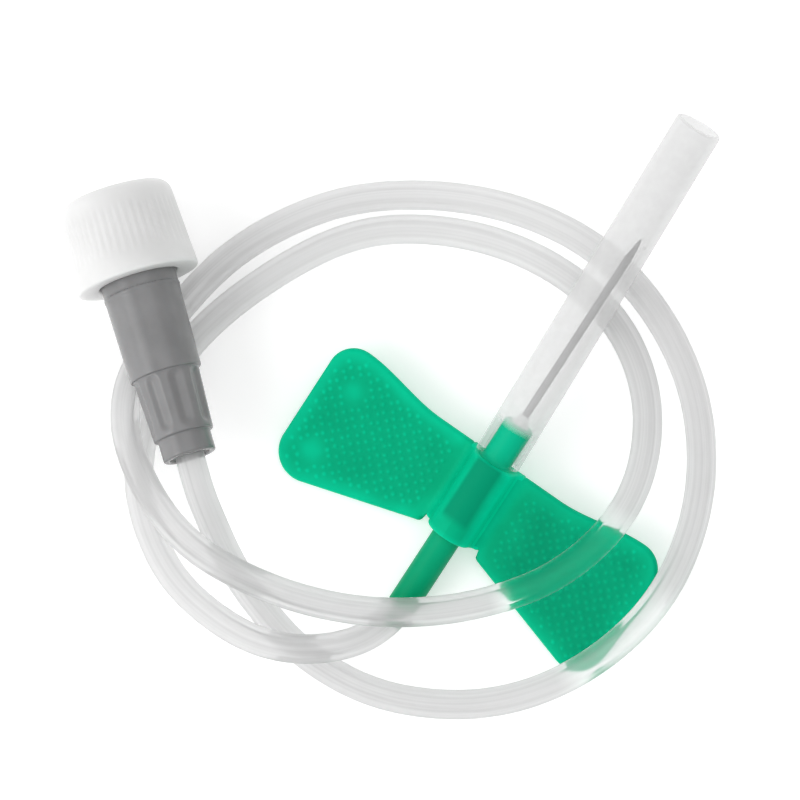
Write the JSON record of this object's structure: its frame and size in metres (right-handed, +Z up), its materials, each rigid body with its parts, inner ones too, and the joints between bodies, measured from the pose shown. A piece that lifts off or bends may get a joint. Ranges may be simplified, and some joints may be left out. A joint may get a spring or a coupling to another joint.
{
  "type": "winged infusion set",
  "caption": "Winged infusion set: a short needle under a clear slide-off guard, a soft folding wing grip, looped clear tubing and a capped cone connector.",
  "frame": {"origin": "under the middle of the rigid set (hub, wings, needle and guard), on the surface that it lies on", "axes": "+Y along the hub towards the needle's tip, +X towards the right wing, +Z up"},
  "size_m": [0.0688, 0.0658, 0.0156],
  "materials": {
    "needle_steel": "ground and polished",
    "clear_bond": "clear cured adhesive",
    "hub_green": "moulded, semi-gloss",
    "soft_green": "soft vinyl, satin, dimpled wings",
    "guard_clear": "frosted clear extrusion",
    "tube_clear": "clear soft vinyl",
    "connector_grey": "moulded, satin",
    "cap_white": "moulded, satin"
  },
  "bodies": {
    "set": {"needle": "needle_steel", "needle_bond": "clear_bond", "needle_hub": "hub_green", "wing_sleeve": "soft_green", "tubing": "tube_clear", "cone_connector": "connector_grey"},
    "left_wing": {"left_wing": "soft_green"},
    "right_wing": {"right_wing": "soft_green"},
    "guard": {"needle_guard": "guard_clear"},
    "cap": {"end_cap": "cap_white"}
  },
  "joints": [
    {"name": "guard_slide", "type": "slide", "parent": "set", "child": "guard", "axis": [-0.0297, 0.9739, 0.2249], "range_m": [0, 0.03]},
    {"name": "cap_pull", "type": "slide", "parent": "set", "child": "cap", "axis": [-0.7856, 0.6138, -0.0785], "range_m": [0, 0.012]},
    {"name": "left_wing_fold", "type": "hinge", "parent": "set", "child": "left_wing", "pos_m": [-0.00305, -0.01331, 0.0027], "axis": [0, 0.9781, 0.2079], "range_deg": [0, 85], "stiffness_Nm_per_rad": 0.001},
    {"name": "right_wing_fold", "type": "hinge", "parent": "set", "child": "right_wing", "pos_m": [0.00305, -0.01331, 0.0027], "axis": [0, -0.9781, -0.2079], "range_deg": [0, 85], "stiffness_Nm_per_rad": 0.001, "deforming": ["tubing"]}
  ]
}
